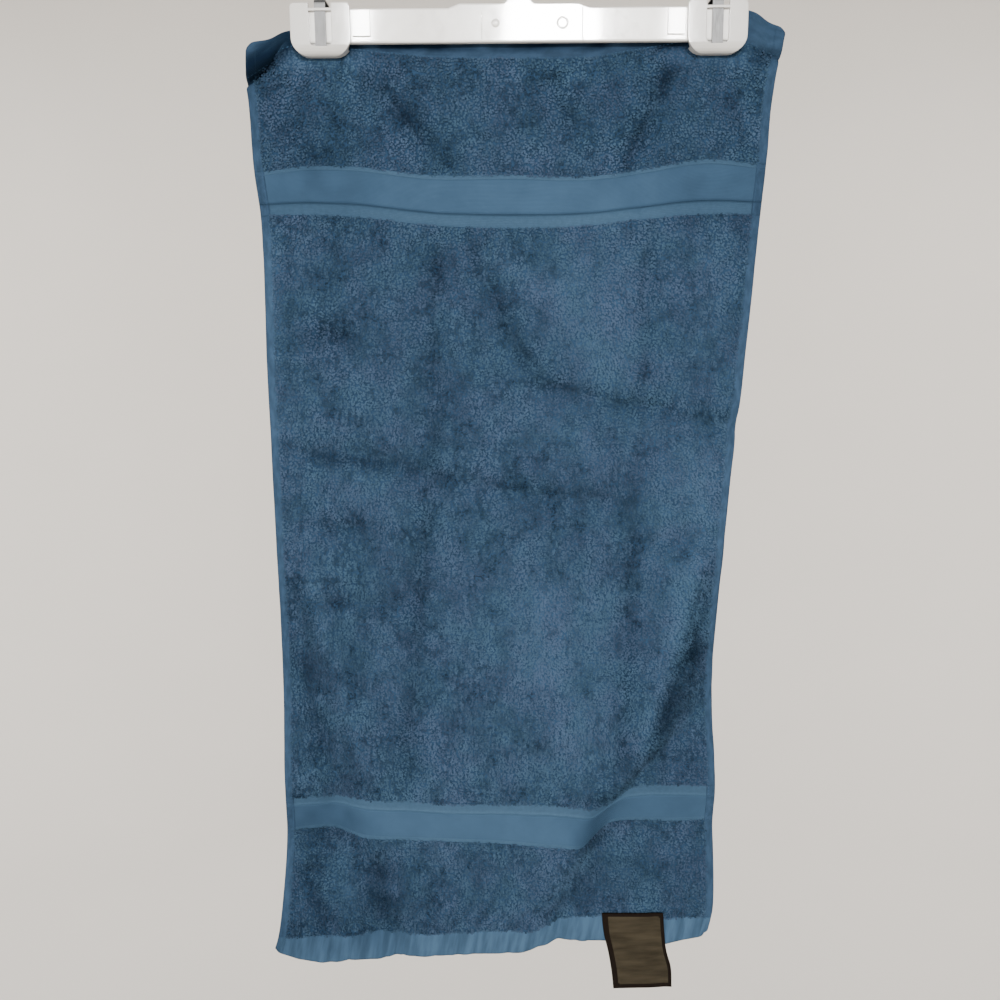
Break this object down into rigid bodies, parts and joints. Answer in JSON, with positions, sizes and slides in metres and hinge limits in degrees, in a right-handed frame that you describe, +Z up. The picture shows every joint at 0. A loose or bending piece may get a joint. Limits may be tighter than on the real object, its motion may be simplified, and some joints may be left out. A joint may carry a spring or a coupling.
{
  "type": "hand towel on a clip hanger",
  "caption": "Terry hand towel with flat woven borders and hemmed ends, hanging in soft folds from a white clip hanger with a wire hook.",
  "frame": {"origin": "inside the top of the hook's eye, where the rail touches it", "axes": "+Z up along the hanging towel, +X to the right as its front is seen, +Y from its front to its back"},
  "size_m": [0.4136, 0.0407, 0.8814],
  "materials": {
    "terry": "steel blue cotton terry with flatter, lighter woven borders and hems",
    "label": "dark brown woven label, bare",
    "plastic": "white moulded plastic, glossy",
    "wire": "bright bent steel wire",
    "spring": "satin spring steel strip"
  },
  "bodies": {
    "root": {"towel": "terry", "label": "label", "bar": "plastic", "hook": "wire", "clip_front_left": "plastic", "clip_front_right": "plastic", "clip_back_left": "plastic", "clip_back_right": "plastic", "spring_left": "spring", "spring_right": "spring"}
  },
  "joints": []
}
